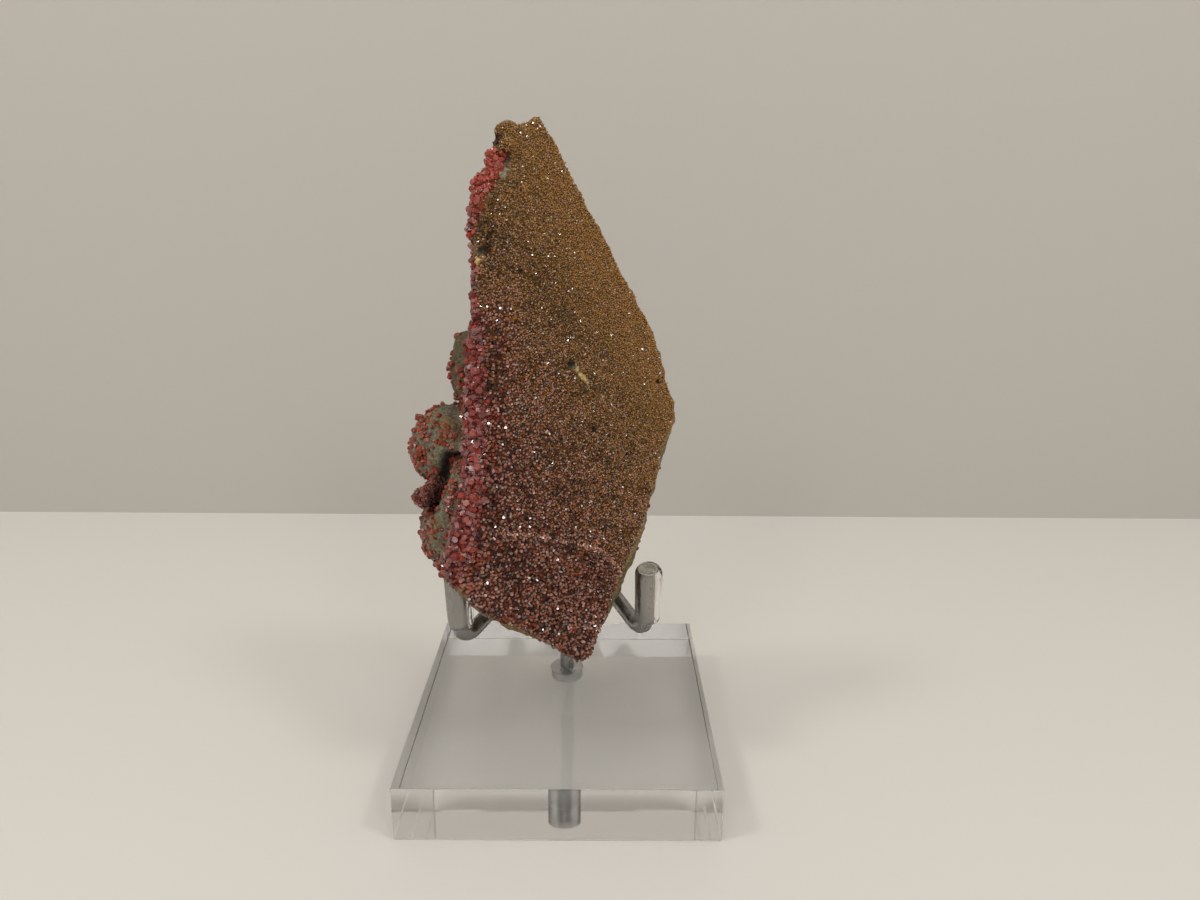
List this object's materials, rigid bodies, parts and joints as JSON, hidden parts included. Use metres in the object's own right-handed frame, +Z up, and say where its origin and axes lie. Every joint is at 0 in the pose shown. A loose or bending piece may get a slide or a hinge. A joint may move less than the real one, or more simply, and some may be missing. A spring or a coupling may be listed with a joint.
{
  "type": "vanadinite specimen on a display stand",
  "caption": "Upright wedge of drusy vanadinite on matrix, cradled by capped steel wires on a clear square base.",
  "frame": {"origin": "centre of the base's underside", "axes": "+Z up, +X to the viewer's right, +Y away from the viewer who looks at the druse-covered face"},
  "size_m": [0.0508, 0.0508, 0.106],
  "materials": {
    "acrylic": "clear polished acrylic",
    "steel": "drawn wire, satin",
    "vinyl": "clear soft vinyl",
    "matrix": "rough, golden brown with grey green flanks",
    "druse": "fine sparkling crystal crust",
    "vanadinite": "glassy red hexagonal crystals"
  },
  "bodies": {
    "root": {"stand_base": "acrylic", "post": "steel", "arm_left": "steel", "arm_right": "steel", "cap_left": "vinyl", "cap_right": "vinyl", "cap_back": "vinyl", "matrix": "matrix", "vanadinite_ridge": "vanadinite", "vanadinite_seam": "vanadinite"}
  },
  "joints": []
}
